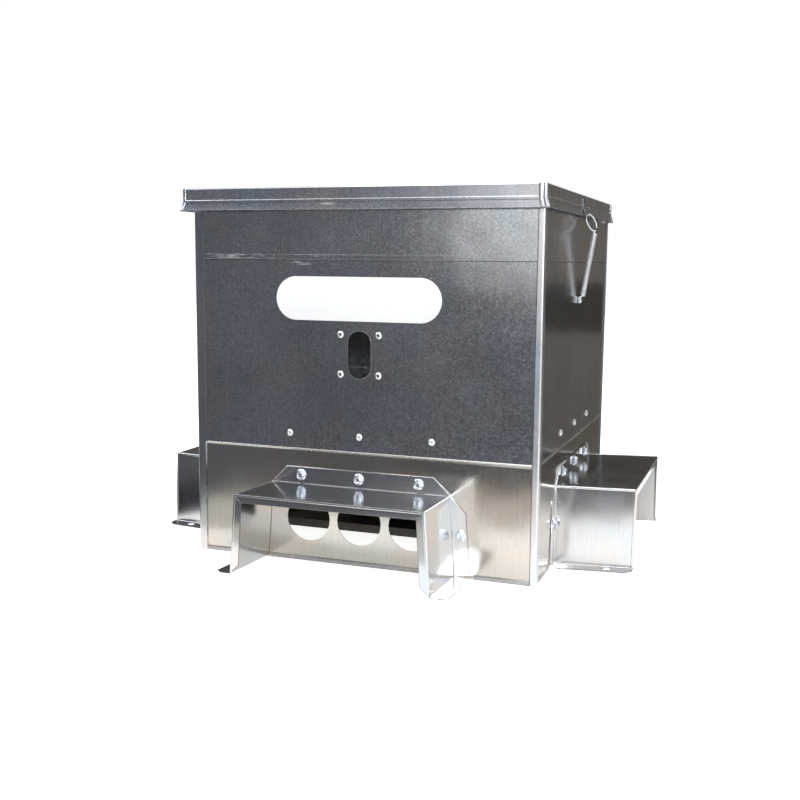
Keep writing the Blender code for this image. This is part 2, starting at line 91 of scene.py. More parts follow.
def add_node(tree, kind, inputs=None, **settings):
    """Adds one node with its settings. Each input is a value or the output that feeds it."""
    node = tree.nodes.new(kind)
    for name, value in settings.items():
        setattr(node, name, value)
    for socket, value in (inputs or {}).items():
        if isinstance(value, bpy.types.NodeSocket):
            tree.links.new(value, node.inputs[socket])
        else:
            node.inputs[socket].default_value = value
    return node


def calc(tree, operation, *values, clamp=False):
    """The result of a maths node on one to three values or outputs."""
    settings = {"operation": operation, "use_clamp": clamp}
    return add_node(tree, "ShaderNodeMath", dict(enumerate(values)), **settings).outputs[0]


def seen_directly(tree):
    """1 for a ray from the camera, off a glossy surface or through glass, and 0 for the rest."""
    rays = add_node(tree, "ShaderNodeLightPath").outputs
    direct = calc(tree, "ADD", rays["Is Camera Ray"], rays["Is Glossy Ray"])
    return calc(tree, "ADD", direct, rays["Is Transmission Ray"], clamp=True)


def lay_out(name, mesh, finish=None):
    """Puts a finished mesh in the scene as an object at the origin."""
    made = bpy.data.objects.new(name, mesh)
    scene.collection.objects.link(made)
    if finish:
        mesh.materials.clear()
        mesh.materials.append(finish)
    return made


surround = bpy.data.worlds.new("white_surround")
scene.world = surround
surround.use_nodes = True
tree = surround.node_tree
background = tree.nodes["Background"]
background.inputs["Color"].default_value = (1.0, 1.0, 1.0, 1.0)
strength = calc(tree, "MULTIPLY_ADD", seen_directly(tree), 1.0 - surround_fill, surround_fill)
tree.links.new(strength, background.inputs["Strength"])


def new_material(name, glows=False):
    """A new material, its node tree, the place on the object and the shader's inputs. One that glows
    starts with no shader."""
    made = bpy.data.materials.new(name)
    made.use_nodes = True
    tree = made.node_tree
    if glows:
        tree.nodes.clear()
    shader = None if glows else tree.nodes["Principled BSDF"].inputs
    return made, tree, add_node(tree, "ShaderNodeTexCoord").outputs["Object"], shader


def noise(tree, spot, scale, detail, roughness=0.5):
    """A soft noise from 0 to 1. The scale is in waves to the metre."""
    waves = {"Vector": spot, "Scale": scale, "Detail": detail, "Roughness": roughness}
    return add_node(tree, "ShaderNodeTexNoise", waves).outputs[0]


def mapped(tree, value, low, high, start=0.0, end=1.0):
    """Takes the range from low to high to the range from start to end, and stops there."""
    span = {"Value": value, "From Min": low, "From Max": high, "To Min": start, "To Max": end}
    return add_node(tree, "ShaderNodeMapRange", span).outputs["Result"]


def mixed(tree, share, first, second, blend="MIX"):
    """The first colour with this share of the second mixed in."""
    parts = {0: share, 6: first, 7: second}
    return add_node(tree, "ShaderNodeMix", parts, data_type="RGBA", blend_type=blend).outputs[2]


# Painted studio floor: matt and nearly white, with a faint mottle left by the roller. It mirrors as
# paler with distance from the feeder.
fade_start = 0.9
fade_end = 2.4
floor_paint, tree, spot, _ = new_material("matt_white_floor_paint", glows=True)
paint = mixed(tree, noise(tree, spot, 9.0, 3.0), colour("#F2F2F0"), colour(floor_tone))
matt = add_node(tree, "ShaderNodeBsdfDiffuse", {"Color": paint})
reach = add_node(tree, "ShaderNodeVectorMath", {0: spot}, operation="LENGTH").outputs["Value"]
fade = mapped(tree, reach, fade_start, fade_end, mirrored_glow, far_glow)
glossy = add_node(tree, "ShaderNodeLightPath").outputs["Is Glossy Ray"]
shown = add_node(tree, "ShaderNodeMix", {0: glossy, 2: shown_glow, 3: fade}, data_type="FLOAT").outputs[0]
glow_level = calc(tree, "MULTIPLY", seen_directly(tree), shown)
glow = add_node(tree, "ShaderNodeEmission", {"Color": colour("#FFFFFD"), "Strength": glow_level})
both = add_node(tree, "ShaderNodeAddShader", {0: matt.outputs[0], 1: glow.outputs[0]})
add_node(tree, "ShaderNodeOutputMaterial", {"Surface": both.outputs[0]})

floor_sheet = bpy.data.meshes.new("studio_floor")
half = floor_size / 2.0
floor_corners = [(-half, -half), (half, -half), (half, half), (-half, half)]
floor_sheet.from_pydata([(x, y, -floor_drop) for x, y in floor_corners], [], [(0, 1, 2, 3)])
lay_out("studio_floor", floor_sheet, floor_paint)


def soft_lamp(name, place, aim, size, watts, tint):
    """A square softbox that looks at a point."""
    light = bpy.data.lights.new(name, "AREA")
    light.size = size
    light.energy = watts
    light.color = colour(tint)[:3]
    lamp = bpy.data.objects.new(name, light)
    lamp.rotation_mode = "QUATERNION"
    lamp.location = place
    lamp.rotation_quaternion = (Vector(aim) - Vector(place)).to_track_quat("-Z", "Y")
    scene.collection.objects.link(lamp)


box_middle = (0.0, 0.0, 0.2)
soft_lamp("overhead_softbox", (0.2, -0.5, 2.6), box_middle, 1.8, 32.0, "#FFFFFF")
soft_lamp("left_softbox", (-2.2, -1.25, 2.1), box_middle, 1.2, 21.0, "#F4F8FF")
soft_lamp("rear_softbox", (1.2, 1.9, 2.2), box_middle, 1.4, 14.0, "#FFFBF4")
soft_lamp("camera_flash", (0.500, -1.660, 0.540), (0.0, -0.25, 0.15), 0.22, 5.0, "#F8FBFF")

# Beyond the white table the room is dark up to head height, and only reflections see that. It makes
# the upper walls dark while the foot of the box mirrors the pale floor. Each card: two ends on the
# floor plan, its foot and its top, its tone and its brightness.
card_plans = [
    ("room_front_left", (-5.0, -4.0), (-0.98, -4.0), 0.0, 4.40, "#A9ABB4", 0.33),
    ("room_left", (-5.0, 1.15), (-5.0, -4.0), 0.0, 3.60, "#A9ABB4", 0.31),
    ("room_front", (-0.98, -4.0), (1.60, -4.0), 0.0, 0.40, "#A9ABB4", 0.31),
    ("right_card", (1.45, -0.40), (1.45, 1.15), 0.0, 0.95, "#A8A29C", 0.31),
    ("rear_card", (1.9, 1.10), (-1.9, 1.10), 0.0, 0.95, "#A8A199", 0.32),
    ("rear_shade", (1.2, 1.09), (-1.2, 1.09), 0.25, 0.375, "#8C8882", 0.15),
    ("left_card", (-1.45, 1.15), (-1.45, -0.20), 0.0, 0.95, "#A9ABB4", 0.31),
]
# Each dark floor: its corners on the floor plan, its tone and its brightness.
near_left = (-0.40, -0.56)
far_left = (-0.42, -0.18)
near_right = (0.06, -0.80)
dark_floors = {
    "floor_in_front": (
        [near_right, near_left, far_left, (-5.0, -0.18), (-5.0, -4.0), (1.6, -4.0), (1.6, -1.10)]
        + [(0.30, -1.10), (0.20, -0.80)],
        "#A9ABB4",
        0.31,
    ),
    "floor_at_the_left": (
        [(-0.50, -0.55), far_left, (-1.4, -0.18), (-1.4, -0.95), (-0.72, -0.95)],
        "#9FA0A6",
        0.10,
    ),
    "floor_half_lit": (
        [near_left, (-0.30, -0.52), (0.18, -0.52), (0.18, -0.80), near_right],
        "#E8E4DE",
        0.93,
    ),
    "floor_half_lit_left": ([near_left, (-0.42, -0.36), (-0.27, -0.36), (-0.22, -0.65)], "#E8E4DA", 0.92),
    "floor_behind": ([(1.45, 0.62), (1.45, 1.10), (-1.45, 1.10), (-1.45, 0.62)], "#A8A199", 0.30),
}
lowest_floor = -0.0004
floor_step = 0.0002


def card_face(name, tone, brightness):
    """A lit card as the metal sees it, with a soft unevenness over its cloth."""
    made, tree, spot, _ = new_material(name, glows=True)
    cloth = noise(tree, spot, 1.6, 1.0)
    strength = mapped(tree, cloth, 0.3, 0.7, 0.8 * brightness, 1.2 * brightness)
    glow = add_node(tree, "ShaderNodeEmission", {"Color": colour(tone), "Strength": strength})
    add_node(tree, "ShaderNodeOutputMaterial", {"Surface": glow.outputs[0]})
    return made


card_rims = {}
for name, start, end, foot, top, tone, brightness in card_plans:
    card_rims[name] = ([(*start, foot), (*end, foot), (*end, top), (*start, top)], tone, brightness)
for number, (name, (plan, tone, brightness)) in enumerate(dark_floors.items()):
    card_rims[name] = ([(x, y, floor_step * number + lowest_floor) for x, y in plan], tone, brightness)
for name, (rim, tone, brightness) in card_rims.items():
    sheet_mesh = bpy.data.meshes.new(name)
    sheet_mesh.from_pydata(rim, [], [tuple(range(len(rim)))])
    card = lay_out(name, sheet_mesh, card_face(name + "_cloth", tone, brightness))
    card.visible_camera = False
    card.visible_diffuse = False
    card.visible_shadow = False
    card.visible_transmission = False

# Box tiers: three square tubes of 1 mm hot-dip galvanised sheet, one lapped over the next, each with
# its lower edge hemmed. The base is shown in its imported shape.
crystal_width = 0.0020
blotch_width = 0.1100
tint_width = 0.0700
fleck_pitch = 0.0150
fleck_core = 0.030
fleck_rim = 0.055
rolling_waves = (320.0, 320.0, 14.0)
scuff_waves = (38.0, 38.0, 300.0)
buckle_depth = 0.0022
grain_depth = 0.00002


def scuffs(tree, spot, rub):
    """White scuffs in a patch, given by its height and its reach up and down, and by its place along
    the front and its reach there."""
    height, rise, along, width = rub
    place = add_node(tree, "ShaderNodeSeparateXYZ", {0: spot}).outputs
    patch = 1.0
    for axis, middle, reach in (("Z", height, rise), ("X", along, width)):
        off = calc(tree, "ABSOLUTE", calc(tree, "SUBTRACT", place[axis], middle))
        patch = calc(tree, "MULTIPLY", mapped(tree, off, 0.4 * reach, reach, 1.0, 0.0), patch)
    scratch = add_node(tree, "ShaderNodeMapping", {"Vector": spot, "Scale": scuff_waves}).outputs[0]
    scuffed = mapped(tree, noise(tree, scratch, 1.0, 6.0, 0.65), 0.50, 0.68, 0.0, 0.5)
    return calc(tree, "MULTIPLY", scuffed, patch)


def galvanised(name, light, dark, gloss=0.14, flecks=0.15, rub=None, spangle=0.5):
    """Hot-dip galvanised sheet: a grey mirror broken by fine zinc crystals, each a shade lighter or
    duller than the next, with clouded patches, faint rolling lines and a few white flecks. Spangle is how
    much the crystals differ, and a rub is a patch of scuffs."""
    made, tree, spot, shader = new_material(name)
    stir = {"Vector": spot, "Scale": 0.6 / crystal_width, "Detail": 2.0}
    stir = add_node(tree, "ShaderNodeTexNoise", stir).outputs["Color"]
    push = {0: stir, 1: (0.5 * crystal_width,) * 3, 2: spot}
    stirred = add_node(tree, "ShaderNodeVectorMath", push, operation="MULTIPLY_ADD").outputs[0]
    crystals = {"Vector": stirred, "Scale": 1.0 / crystal_width}
    crystals = add_node(tree, "ShaderNodeTexVoronoi", crystals).outputs
    draw = add_node(tree, "ShaderNodeSeparateColor", {"Color": crystals["Color"]}).outputs
    clouds = noise(tree, spot, 1.0 / blotch_width, 5.0)
    rolled = add_node(tree, "ShaderNodeMapping", {"Vector": spot, "Scale": rolling_waves}).outputs[0]
    shade = calc(tree, "MULTIPLY_ADD", draw[0], spangle, -0.2 - 0.5 * spangle)
    shade = calc(tree, "MULTIPLY_ADD", clouds, 0.8, shade)
    shade = calc(tree, "MULTIPLY_ADD", noise(tree, rolled, 1.0, 3.0), 0.6, shade, clamp=True)
    tone = mixed(tree, shade, colour(dark), colour(light))
    hue = mapped(tree, noise(tree, spot, 1.0 / tint_width, 3.0), 0.32, 0.68)
    tone = mixed(tree, 1.0, tone, mixed(tree, hue, colour("#FFF8F4"), colour("#F4FAFC")), "MULTIPLY")
    specks = add_node(tree, "ShaderNodeTexVoronoi", {"Vector": spot, "Scale": 1.0 / fleck_pitch}).outputs
    fleck = mapped(tree, specks["Distance"], fleck_core, fleck_rim, flecks, 0.0)
    if rub:
        fleck = calc(tree, "MAXIMUM", fleck, scuffs(tree, spot, rub))
    tree.links.new(mixed(tree, fleck, tone, colour("#FAFAF8")), shader["Base Color"])
    rough = mapped(tree, draw[1], 0.0, 1.0, gloss - 0.07 * spangle, gloss + 0.11 * spangle)
    rough = calc(tree, "MULTIPLY_ADD", clouds, 0.10, rough)
    rough = calc(tree, "MULTIPLY_ADD", fleck, 0.5, rough)
    tree.links.new(rough, shader["Roughness"])
    buckle = {"Height": noise(tree, spot, 6.0, 2.0), "Strength": 1.0, "Distance": buckle_depth}
    grain = {"Height": crystals["Distance"], "Strength": 0.3 * spangle, "Distance": grain_depth}
    grain["Normal"] = add_node(tree, "ShaderNodeBump", buckle).outputs[0]
    tree.links.new(add_node(tree, "ShaderNodeBump", grain).outputs[0], shader["Normal"])
    tree.links.new(calc(tree, "MULTIPLY_ADD", fleck, -0.7, 1.0), shader["Metallic"])
    return made


def refinish(name, finish):
    """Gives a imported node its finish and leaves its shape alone."""
    cad_node[name].data.materials.clear()
    cad_node[name].data.materials.append(finish)


refinish("base_skirt", galvanised("galvanised_sheet_base", "#DCD7D0", "#C2BDB7", gloss=0.11, spangle=0.2))
refinish("feed_funnel", galvanised("galvanised_sheet_funnel", "#C6C8CA", "#A6A9AD", gloss=0.26))
# The tray's dark tone is painted shade: it stands deep inside the box.
refinish("feed_tray", galvanised("galvanised_sheet_tray_painted_shade", "#7C7873", "#5A5652", gloss=0.34))
bracket_zinc = galvanised("galvanised_strip_bracket", "#C6C8CA", "#A6A9AD", gloss=0.26)
for side in ("right", "left"):
    refinish("tray_bracket_" + side, bracket_zinc)

# The body and the collar are shown as copies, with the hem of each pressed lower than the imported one:
# the body's right down to its bead, and the collar's to half its height. The body's step under the
# collar starts higher, so that the lap shows as a line and not as a slope.
wall_half = 0.2530
hem_proud = 0.0006
hem_height = 0.0120
hem_reach = wall_half - 0.5 * hem_proud + 0.00015
collar_foot = 0.4290
body_foot = 0.1620
near = 0.0004
step_foot = 0.4253
step_lift = 0.0027
weld_gap = 0.000004


def welded(node):
    """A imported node's faces, for shaping, with their doubled points joined."""
    bm = bmesh.new()
    bm.from_mesh(cad_node[node].data)
    bmesh.ops.remove_doubles(bm, verts=bm.verts, dist=weld_gap)
    return bm


def plain_mesh(name, bm):
    """Turns the built faces into a mesh and lets the builder go."""
    mesh = bpy.data.meshes.new(name)
    bm.to_mesh(mesh)
    bm.free()
    return mesh


def pressed_hem(node, name, foot, height, finish):
    """A welded copy of a tier in its place, with the top of its outer hem moved to a lower height."""
    bm = welded(node)
    hem_top = foot + hem_height
    for vert in bm.verts:
        outer = max(abs(vert.co.x), abs(vert.co.y)) > hem_reach
        if outer and min(abs(vert.co.z - hem_top), abs(vert.co.z - hem_top - hem_proud)) < near:
            vert.co.z -= hem_height - height
        if abs(vert.co.z - step_foot) < near:
            vert.co.z += step_lift
    made = lay_out(name, plain_mesh(name, bm), finish)
    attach(made, "feeder")
    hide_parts(node)


body_look = {"gloss": 0.12, "rub": (0.4240, 0.0050, -0.092, 0.024), "spangle": 0.6}
body_zinc = galvanised("galvanised_sheet_body", "#E4E6E9", "#BABDC2", **body_look)
pressed_hem("hopper_body", "hopper_wall", body_foot, 0.0010, body_zinc)
collar_look = {"gloss": 0.12, "rub": (0.4335, 0.0040, -0.150, 0.120), "spangle": 0.6}
collar_zinc = galvanised("galvanised_sheet_collar", "#EAECEE", "#C0C3C8", **collar_look)
pressed_hem("top_collar", "collar_wall", collar_foot, 0.0066, collar_zinc)

# Hems: the foot of each tier is folded back on itself, so that it ends in a small round bead, and the
# base has a narrow folded border at the ground. Beads run between the corner strips.
bead_sizes = {"collar": (collar_foot, 0.00055), "body": (body_foot, 0.0014)}
bead_end = 0.2450
ground_fold = 0.0068
SIDES = ("front", "right", "rear", "left")


def turn(side):
    """The matrix that takes the front of the box to this side of it."""
    return Matrix.Rotation(math.radians(90.0 * SIDES.index(side)), 4, "Z")


def open_tree(name, inputs, result):
    """A Geometry Nodes tree with named inputs of these kinds and one result. Gives it and its inputs."""
    made = bpy.data.node_groups.new(name, "GeometryNodeTree")
    for socket, kind in inputs.items():
        made.interface.new_socket(socket, in_out="INPUT", socket_type="NodeSocket" + kind)
    made.interface.new_socket(result, in_out="OUTPUT", socket_type="NodeSocketGeometry")
    return made, add_node(made, "NodeGroupInput").outputs


def close_tree(made, result, shapes, finish):
    """Makes the shapes real, gives them their finish and hands them out as the result."""
    real = add_node(made, "GeometryNodeRealizeInstances", {"Geometry": shapes})
    dressed = {"Geometry": real.outputs[0], "Material": finish}
    dressed = add_node(made, "GeometryNodeSetMaterial", dressed).outputs[0]
    add_node(made, "NodeGroupOutput", {result: dressed})
    return made


def wire_tree():
    """Geometry Nodes that sweep a round wire along every edge path of the mesh that they are given."""
    inputs = {"Paths": "Geometry", "Radius": "Float", "Facets": "Int", "Finish": "Material"}
    made, given = open_tree("wire_along_paths", inputs, "Wires")
    paths = add_node(made, "GeometryNodeMeshToCurve", {"Mesh": given["Paths"]})
    ring = {"Resolution": given["Facets"], "Radius": given["Radius"]}
    ring = add_node(made, "GeometryNodeCurvePrimitiveCircle", ring)
    swept = {"Curve": paths.outputs[0], "Profile Curve": ring.outputs[0], "Fill Caps": True}
    wires = add_node(made, "GeometryNodeCurveToMesh", swept)
    smooth = add_node(made, "GeometryNodeSetShadeSmooth", {"Geometry": wires.outputs[0]})
    return close_tree(made, "Wires", smooth.outputs[0], given["Finish"])


def worked_in(host):
    """The object's mesh with its modifiers worked in."""
    graph = bpy.context.evaluated_depsgraph_get()
    return bpy.data.meshes.new_from_object(host.evaluated_get(graph))


def grow(name, start, tree, sizes):
    """Runs a Geometry Nodes tree on a starting mesh and keeps its result as a plain mesh."""
    host = bpy.data.objects.new(name, start)
    scene.collection.objects.link(host)
    modifier = host.modifiers.new("grow", "NODES")
    modifier.node_group = tree
    for item in tree.interface.items_tree:
        if item.item_type == "SOCKET" and item.in_out == "INPUT" and item.name in sizes:
            modifier[item.identifier] = sizes[item.name]
    mesh = worked_in(host)
    bpy.data.objects.remove(host)
    return lay_out(name, mesh)


def path_mesh(name, paths):
    """Open paths as one mesh of edges."""
    mesh = bpy.data.meshes.new(name)
    points = []
    edges = []
    for path in paths:
        edges += [(len(points) + step, len(points) + step + 1) for step in range(len(path) - 1)]
        points += [tuple(point) for point in path]
    mesh.from_pydata(points, edges, [])
    return mesh


wire_along_paths = wire_tree()


def wires_along(name, paths, radius, facets, finish):
    """Round wires along open paths, as one piece."""
    sizes = {"Radius": radius, "Facets": facets, "Finish": finish}
    return grow(name, path_mesh(name, paths), wire_along_paths, sizes)


hem_zinc = galvanised("galvanised_hem_bead", "#F4F2EE", "#D8D6D2", gloss=0.22, spangle=0.1)
worn_zinc = galvanised("worn_galvanised_edge", "#B0B1B5", "#707277", gloss=0.32, flecks=0.0)
edge_zinc = galvanised("galvanised_rolled_edge", "#A6A7AA", "#74767C", gloss=0.28, flecks=0.0)
bead_sink = 0.0003
for tier, (foot, radius) in bead_sizes.items():
    hem_paths = []
    for side in SIDES:
        out = bead_sink - wall_half - hem_proud
        ends = [(along, out, foot + 0.4 * radius) for along in (-bead_end, bead_end)]
        hem_paths.append([turn(side) @ Vector(end) for end in ends])
    finish = hem_zinc if tier == "body" else worn_zinc
    hem_bead = wires_along(tier + "_hem_bead", hem_paths, radius, 12, finish)
    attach(hem_bead, "feeder")

# The base's border is the sheet turned back once at the ground: a pale strip under the holes and
# beside each hood, which the hood's flanges interrupt.
border_runs = [(-bead_end, -0.1690), (-0.1385, 0.1385), (0.1690, bead_end)]
border_proud = 0.0011
border_edge = 0.0004
sharp_angle = math.radians(38.0)


def slab(bm, low, high, place):
    """A closed box between two corners, put in place by a matrix."""
    made = bmesh.ops.create_cube(bm, size=1.0)["verts"]
    for vert in made:
        vert.co = place @ Vector([low[axis] if vert.co[axis] < 0.0 else high[axis] for axis in range(3)])


def mesh_of(name, bm, edge=0.0):
    """Turns the built faces into a mesh, facing out, with its edges eased by a small bevel."""
    bmesh.ops.recalc_face_normals(bm, faces=bm.faces)
    if edge:
        ease = {"offset": edge, "segments": 2, "profile": 0.5, "affect": "EDGES", "clamp_overlap": True}
        bmesh.ops.bevel(bm, geom=list(bm.edges), **ease)
    mesh = plain_mesh(name, bm)
    mesh.shade_smooth()
    mesh.set_sharp_from_angle(angle=sharp_angle)
    return mesh


def lay_out_built(name, bm, finish, edge=0.0):
    """Puts built faces in the scene as one piece with its finish."""
    return lay_out(name, mesh_of(name, bm, edge), finish)


bm = bmesh.new()
for side in SIDES:
    for start, end in border_runs:
        low = (start, -wall_half - border_proud, border_edge)
        slab(bm, low, (end, border_edge - wall_half, ground_fold), turn(side))
border_zinc = galvanised("galvanised_ground_fold", "#C2C0BD", "#98979A", gloss=0.26)
base_border = lay_out_built("base_border", bm, border_zinc, border_edge)
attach(base_border, "feeder")

# Corner angles: a folded strip of the same sheet covers each corner from the ground to the lid, with a
# bright round bend. A copy of each packed strip is welded and its bend made smooth.
sheet_edge = 0.00030
flat_angle = math.radians(0.4)
bend_angle = math.radians(40.0)
fold_angle = math.radians(50.0)


def formed_copy(node, name, finish, edge=sheet_edge, reshape=None):
    """A welded copy of a packed sheet part, with smooth bends and eased sheet edges, in its place. A
    reshape function may move its points a little first."""
    bm = welded(node)
    bmesh.ops.dissolve_limit(bm, angle_limit=flat_angle, verts=bm.verts, edges=bm.edges)
    for vert in bm.verts if reshape else []:
        vert.co = reshape(vert.co)
    made = lay_out(name, plain_mesh(name, bm))
    ease = made.modifiers.new("eased_edges", "BEVEL")
    ease.width = edge
    ease.segments = 2
    ease.limit_method = "ANGLE"
    ease.angle_limit = bend_angle
    ease.use_clamp_overlap = False
    ease.miter_outer = "MITER_ARC"
    eased = worked_in(made)
    eased.materials.clear()
    eased.materials.append(finish)
    eased.shade_smooth()
    eased.set_sharp_from_angle(angle=fold_angle)
    made.modifiers.clear()
    made.data = eased
    weigh = made.modifiers.new("flat_faces", "WEIGHTED_NORMAL")
    weigh.keep_sharp = True
    weigh.weight = 90
    finished = worked_in(made)
    made.modifiers.clear()
    made.data = finished
    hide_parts(node)
    return made


angle_leg_end = 0.2424
short_leg_end = 0.2460
angle_head = 0.5215


def trimmed(point):
    """Trims the leg at the right-hand end of each side, which is the narrower one."""
    for side in SIDES:
        seen = turn(side).inverted() @ point
        if seen.y < -wall_half and abs(seen.x - angle_leg_end) < near:
            return turn(side) @ Vector((short_leg_end + seen.x - angle_leg_end, seen.y, seen.z))
    return point


# The two strips on the right are a little duller than those on the left.
angle_zinc = galvanised("galvanised_corner_angle", "#E4E5E8", "#C4C6CA", spangle=0.3)
dull_angle_zinc = galvanised("dulled_galvanised_corner_angle", "#F0F1F4", "#D2D4D8", gloss=0.27, spangle=0.3)
for corner in ("front_right", "rear_right", "rear_left", "front_left"):
    finish = dull_angle_zinc if corner.endswith("right") else angle_zinc
    strip_name = "corner_strip_" + corner
    strip = formed_copy("corner_angle_" + corner, strip_name, finish, edge=0.0001, reshape=trimmed)
    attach(strip, "feeder")

# Each long edge of the strips is pressed against the wall, so that no gap shows beside it.
pressed_edge = 0.0010
edge_lap = 0.0005
lip_face = wall_half + 0.00194
lip_root = wall_half - 0.0001
strip_foot = 0.0008


def skin(bm, rings):
    """The faces between closed rings of points, each with as many, and those that close the ends."""
    for lower, upper in zip(rings, rings[1:]):
        for step in range(len(lower)):
            after = (step + 1) % len(lower)
            bm.faces.new((lower[step], lower[after], upper[after], upper[step]))
    bm.faces.new(rings[0])
    bm.faces.new(reversed(rings[-1]))


def wedge(bm, place, along, hand, low, high):
    """A long thin lip that laps the strip's edge and slopes down to the wall beside it."""
    lap = along + hand * edge_lap
    toe = lap + hand * pressed_edge
    section = [(along, -lip_face), (lap, -lip_face), (toe, -lip_root), (along, -lip_root)]
    skin(bm, [[bm.verts.new(place @ Vector((x, y, height))) for x, y in section] for height in (low, high)])


left_edge = -angle_leg_end - edge_lap
bm = bmesh.new()
for side in SIDES:
    wedge(bm, turn(side), left_edge, 1.0, strip_foot, body_foot)
strip_feet = lay_out_built("corner_strip_feet", bm, angle_zinc)

bm = bmesh.new()
for side in SIDES:
    wedge(bm, turn(side), short_leg_end + edge_lap, -1.0, strip_foot, angle_head)
    wedge(bm, turn(side), left_edge, 1.0, body_foot, angle_head)
# The zinc along the edges of the laps is dulled to a dark grey: painted shade of the lap, with some grime
# there.
lap_grime_and_shade_zinc = galvanised("lap_grime_and_painted_shade", "#70727A", "#64666C", gloss=0.42, flecks=0.0, spangle=0.1)
strip_edges = lay_out_built("corner_strip_edges", bm, lap_grime_and_shade_zinc)
for lip in (strip_feet, strip_edges):
    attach(lip, "feeder")

# Lid: a shallow pan of the same sheet, set over the collar and held down by the springs. Its skirt has
# a pressed ridge, flares below it, and ends in a hem, and is lapped over each corner as a narrow tab.
lid_half = 0.2628
lid_shift = -0.0049
lid_top = 0.5263
lid_ridge = 0.5088
lid_foot = 0.4963
lid_flare = 0.0032
lid_bead = 0.0008
lid_crown = 0.0012
rim_depth = 0.0026


def crowned(point):
    """Lifts the rim of the lid's top a little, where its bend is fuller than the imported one."""
    if point.z < lid_top - rim_depth:
        return point
    return point + Vector((0.0, 0.0, lid_crown))


def lid_place(side):
    """The matrix that takes the front of the lid to this side of it, where the lid stands in its play."""
    return Matrix.Translation((lid_shift, 0.0, 0.0)) @ turn(side)


lid_look = {"gloss": 0.19, "flecks": 0.3, "rub": (0.5046, 0.0030, -0.047, 0.018), "spangle": 0.4}
lid_zinc = galvanised("galvanised_sheet_lid", "#E8EAF0", "#C2C6D0", **lid_look)
lid_shell = formed_copy("lid", "lid_pan", lid_zinc, edge=0.00012, reshape=crowned)
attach(lid_shell, "lid")

# The ridge is a shallow bow along each side, from one corner's tab to the next, and the skirt's hem
# ends in a bead.
ridge_half = 0.0032
ridge_proud = 0.0008
ridge_drop = 0.0008
ridge_lap = 0.0006
ridge_root = 0.0004
tab_reach = 0.0118
tab_rise = 0.0007
rib_width = 0.0056
groove_width = 0.0024
tab_bend = 0.0036
side_reach = 0.0046
tab_sink = 0.0001
tab_lap = 0.0003
tab_foot = 0.0012
tab_head = 0.0008
seam_wire = 0.0008
seam_foot = 0.0004
seam_head = 0.0006

bm = bmesh.new()
middle = lid_ridge - ridge_drop
bow = [math.pi * step / 8.0 for step in range(9)]
ring = [(-lid_half - ridge_proud * math.sin(a), middle - ridge_half * math.cos(a)) for a in bow]
ring += [(ridge_root - lid_half, middle + ridge_half), (ridge_root - lid_half, middle - ridge_half)]
for side in SIDES:
    place = lid_place(side)
    ends = (side_reach - ridge_lap - lid_half, lid_half - tab_reach + ridge_lap)
    skin(bm, [[bm.verts.new(place @ Vector((along, y, height))) for y, height in ring] for along in ends])
lid_fold = lay_out_built("lid_ridge", bm, lid_zinc)

half = lid_half + lid_flare - bead_sink
height = lid_foot + 0.4 * lid_bead
ends = [Vector((along, -half, height)) for along in (-half, half)]
edge_paths = [[lid_place(side) @ end for end in ends] for side in SIDES]
lid_edge = wires_along("lid_edge_bead", edge_paths, lid_bead, 14, edge_zinc)


def tab_section(half):
    """One tab seen from above, from its end on the front face round the corner: a low rounded rib, a
    groove, and the rounded bend, as (x, y)."""
    outer = half + tab_rise
    start = outer - tab_reach
    section = []
    for step in range(9):
        swell = 2.0 * tab_sink + 0.7 * tab_rise * math.sin(math.pi * step / 8.0)
        section.append((start + rib_width * step / 8.0, -half - swell))
    section.append((start + rib_width + tab_lap, -half - tab_sink))
    section.append((start + rib_width + groove_width, -half - tab_sink))
    centre = outer - tab_bend
    for step in range(11):
        angle = math.radians(-90.0 + 9.0 * step)
        section.append((centre + tab_bend * math.cos(angle), -centre + tab_bend * math.sin(angle)))
    section.append((outer, side_reach - outer))
    inner = half - tab_lap
    return [*section, (inner, side_reach - outer), (inner, -inner), (start, -inner)]


bm = bmesh.new()
skirt_levels = [(lid_half + lid_flare, lid_foot + tab_foot), (lid_half, lid_ridge)]
skirt_levels.append((lid_half, lid_top + tab_head))
seam_paths = []
for side in SIDES:
    place = lid_place(side)
    rings = []
    for half, height in skirt_levels:
        rings.append([bm.verts.new(place @ Vector((x, y, height))) for x, y in tab_section(half)])
    skin(bm, rings)
    groove = tab_reach - tab_rise - rib_width - 0.55 * groove_width
    points = [Vector((half - groove, -half - tab_sink, height)) for half, height in skirt_levels]
    points[0].z += seam_foot
    points[-1].z -= seam_head
    seam_paths.append([place @ point for point in points])
# The tabs take a paler copy of the lid's zinc, a painted highlight for the light that their bends catch.
highlit_tab_zinc = galvanised("galvanised_lid_tab_painted_highlight", "#F6F8FC", "#E2E6EC", gloss=0.20)
lid_tabs = lay_out_built("lid_corner_tabs", bm, highlit_tab_zinc)
# The wire in each tab's groove takes the same dark grey, painted shade of the groove.
lid_seams = wires_along("lid_corner_seams", seam_paths, seam_wire, 10, lap_grime_and_shade_zinc)
for trim in (lid_fold, lid_edge, lid_tabs, lid_seams):
    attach(trim, "lid")

# Catches: a strip of sheet welded inside each side of the skirt, with a tongue that the loop hangs on.
catch_zinc = galvanised("dulled_galvanised_catch", "#8C8D90", "#66676B", gloss=0.36, flecks=0.0, spangle=0.2)
for side in ("right", "left"):
    catch = formed_copy("lid_catch_" + side, "lid_hook_" + side, catch_zinc, edge=0.00006)
    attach(catch, "lid")

# Hoods: each is folded from one blank, with a flange on the wall, a lip and two returns at the front,
# and two feet with a hole for a ground stake. The bends are bright where the zinc is stretched.
hood_zinc = galvanised("galvanised_sheet_hood", "#E4E5E7", "#CCCED1", gloss=0.10, spangle=0.12)
for side in SIDES:
    hood = formed_copy("hood_" + side, "hood_fold_" + side, hood_zinc)
    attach(hood, "feeder")

